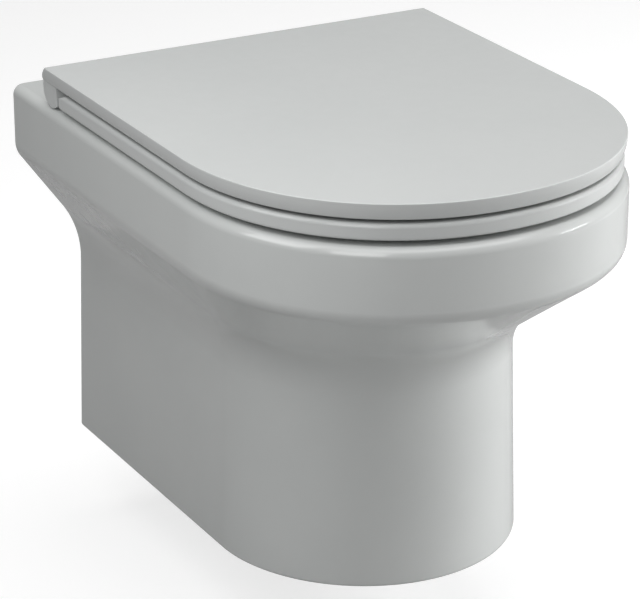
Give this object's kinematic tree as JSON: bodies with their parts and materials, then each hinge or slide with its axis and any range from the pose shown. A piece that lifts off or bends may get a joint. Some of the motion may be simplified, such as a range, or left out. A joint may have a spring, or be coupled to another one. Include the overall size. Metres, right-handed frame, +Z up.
{
  "type": "wall hung toilet",
  "caption": "Wall hung toilet with a D-shaped rim, a flared body, a slim seat and wrap-over lid on a quick-release soft-close hinge.",
  "frame": {"origin": "middle of the line between the two wall studs, on the finished wall face that the pan's back lies against", "axes": "+X to the right seen from the front, +Y into the wall (the toilet's front faces -Y), +Z up"},
  "size_m": [0.36, 0.512, 0.358],
  "materials": {
    "ceramic": "gloss glaze",
    "seat_plastic": "polished moulding",
    "grey_plastic": "fine grain moulding",
    "rubber": "soft matte",
    "steel": "turned",
    "polished_steel": "polished",
    "brass": "machined"
  },
  "bodies": {
    "pan": {"pan_body": "ceramic", "wall_sleeves": "grey_plastic", "clamp_barrels": "steel", "clamp_screws": "steel", "inlet_seal": "rubber", "hinge_plugs": "rubber", "hinge_nuts": "brass", "hinge_bolts": "steel", "hinge_bases": "polished_steel"},
    "hinge_carriage": {"hinge_block_left": "polished_steel", "hinge_block_right": "polished_steel", "hinge_pins": "steel", "damper_spindles": "steel", "release_clips": "steel"},
    "button_left": {"release_button_left": "grey_plastic"},
    "button_right": {"release_button_right": "grey_plastic"},
    "seat": {"seat_ring": "seat_plastic", "seat_damper": "grey_plastic", "seat_buffers": "rubber"},
    "lid": {"lid_cover": "seat_plastic", "lid_damper": "grey_plastic", "lid_buffers": "rubber"}
  },
  "joints": [
    {"name": "carriage_lift", "type": "slide", "parent": "pan", "child": "hinge_carriage", "axis": [0, 0, 1], "range_m": [0, 0.03], "deforming": ["release_clips"]},
    {"name": "seat_hinge", "type": "hinge", "parent": "hinge_carriage", "child": "seat", "pos_m": [0, -0.0745, 0.097], "axis": [-1, 0, 0], "range_deg": [0, 95]},
    {"name": "lid_hinge", "type": "hinge", "parent": "seat", "child": "lid", "pos_m": [0, -0.0745, 0.097], "axis": [1, 0, 0], "range_deg": [-95, 0]},
    {"name": "button_left_press", "type": "slide", "parent": "hinge_carriage", "child": "button_left", "axis": [0, 1, 0], "range_m": [0, 0.0025], "stiffness_N_per_m": 600, "springref_m": -0.001},
    {"name": "button_right_press", "type": "slide", "parent": "hinge_carriage", "child": "button_right", "axis": [0, 1, 0], "range_m": [0, 0.0025], "stiffness_N_per_m": 600, "springref_m": -0.001}
  ]
}
